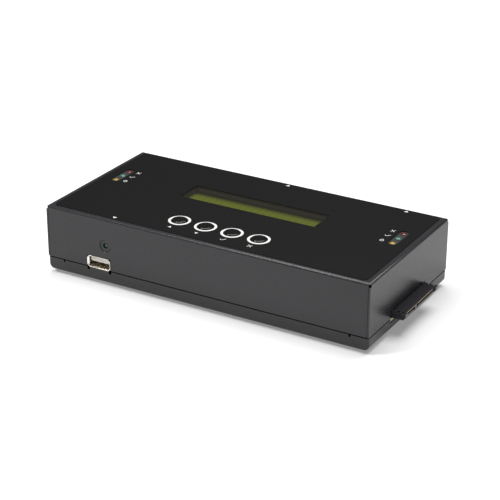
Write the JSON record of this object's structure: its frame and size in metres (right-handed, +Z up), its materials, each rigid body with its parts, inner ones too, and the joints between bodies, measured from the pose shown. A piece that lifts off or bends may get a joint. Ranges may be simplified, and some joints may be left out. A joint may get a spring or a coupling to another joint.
{
  "type": "hard drive duplicator",
  "caption": "Low sheet-metal box with a drive socket at each end, a front host port, a display window, round keys and status lights on top, and power and serial ports behind.",
  "frame": {"origin": "centre of the footprint at the plane of the feet's undersides, which is the bottom centre of the bounding box", "axes": "+X along the long side towards the right-hand drive socket, +Y from the front port's face towards the back, +Z up out of the key panel"},
  "size_m": [0.2032, 0.0958, 0.0389],
  "materials": {
    "cover_paint": "fine satin powder coat over sheet steel",
    "tray_paint": "fine satin powder coat over sheet steel",
    "foot_rubber": "matt moulded rubber",
    "fastener_steel": "zinc plated, satin",
    "black_fastener_steel": "black oxide, satin",
    "overlay_film": "fine matt polyester film",
    "clear_plastic": "polished acrylic",
    "display_glass": "polished, yellow-green behind the glass",
    "display_light_guide": "satin",
    "bezel_steel": "satin black",
    "gasket_foam": "matt foam",
    "circuit_board": "satin solder mask on glass fibre laminate",
    "black_plastic": "fine matt moulded",
    "key_plastic": "satin moulded",
    "plunger_plastic": "satin moulded",
    "holder_plastic": "satin smoke grey",
    "red_lens": "diffuse polished epoxy",
    "green_lens": "diffuse polished epoxy",
    "amber_lens": "diffuse polished epoxy",
    "connector_nickel": "nickel plated, bright",
    "contact_gold": "thin bright gold plating",
    "white_plastic": "satin moulded",
    "capacitor_aluminium": "bright drawn"
  },
  "bodies": {
    "chassis": {"activity_light": "green_lens", "activity_light_holder": "black_plastic", "board_plug": "black_plastic", "board_screws": "fastener_steel", "board_spacers": "fastener_steel", "bottom_tray": "tray_paint", "controller_chip": "black_plastic", "cover_screws": "black_fastener_steel", "display_backlight": "display_light_guide", "display_bezel": "bezel_steel", "display_board": "circuit_board", "display_gasket": "gasket_foam", "display_glass": "display_glass", "display_header": "black_plastic", "display_spacers": "fastener_steel", "display_window": "clear_plastic", "drive_connector_left": "black_plastic", "drive_connector_right": "black_plastic", "drive_contacts_left": "contact_gold", "drive_contacts_right": "contact_gold", "fault_light_left": "red_lens", "fault_light_right": "red_lens", "foot_back_left": "foot_rubber", "foot_back_right": "foot_rubber", "foot_front_left": "foot_rubber", "foot_front_right": "foot_rubber", "graphic_overlay": "overlay_film", "light_holder_left": "holder_plastic", "light_holder_right": "holder_plastic", "main_board": "circuit_board", "panel_board": "circuit_board", "panel_spacers": "fastener_steel", "pass_light_left": "green_lens", "pass_light_right": "green_lens", "power_capacitors": "capacitor_aluminium", "power_inductor": "black_plastic", "power_jack": "black_plastic", "power_jack_pin": "contact_gold", "power_light_left": "amber_lens", "power_light_right": "amber_lens", "serial_insulator": "black_plastic", "serial_jackscrews": "fastener_steel", "serial_pins": "contact_gold", "serial_shell": "connector_nickel", "switch_accept": "black_plastic", "switch_cancel": "black_plastic", "switch_down": "black_plastic", "switch_up": "black_plastic", "top_cover": "cover_paint", "usb_contacts": "contact_gold", "usb_insulator": "white_plastic", "usb_shell": "connector_nickel"},
    "key_up": {"key_cap_up": "key_plastic", "key_plunger_up": "plunger_plastic"},
    "key_down": {"key_cap_down": "key_plastic", "key_plunger_down": "plunger_plastic"},
    "key_accept": {"key_cap_accept": "key_plastic", "key_plunger_accept": "plunger_plastic"},
    "key_cancel": {"key_cap_cancel": "key_plastic", "key_plunger_cancel": "plunger_plastic"}
  },
  "joints": [
    {"name": "key_up_press", "type": "slide", "parent": "chassis", "child": "key_up", "axis": [0, 0, -1], "range_m": [0, 0.0004], "stiffness_N_per_m": 1000},
    {"name": "key_down_press", "type": "slide", "parent": "chassis", "child": "key_down", "axis": [0, 0, -1], "range_m": [0, 0.0004], "stiffness_N_per_m": 1000},
    {"name": "key_accept_press", "type": "slide", "parent": "chassis", "child": "key_accept", "axis": [0, 0, -1], "range_m": [0, 0.0004], "stiffness_N_per_m": 1000},
    {"name": "key_cancel_press", "type": "slide", "parent": "chassis", "child": "key_cancel", "axis": [0, 0, -1], "range_m": [0, 0.0004], "stiffness_N_per_m": 1000}
  ]
}
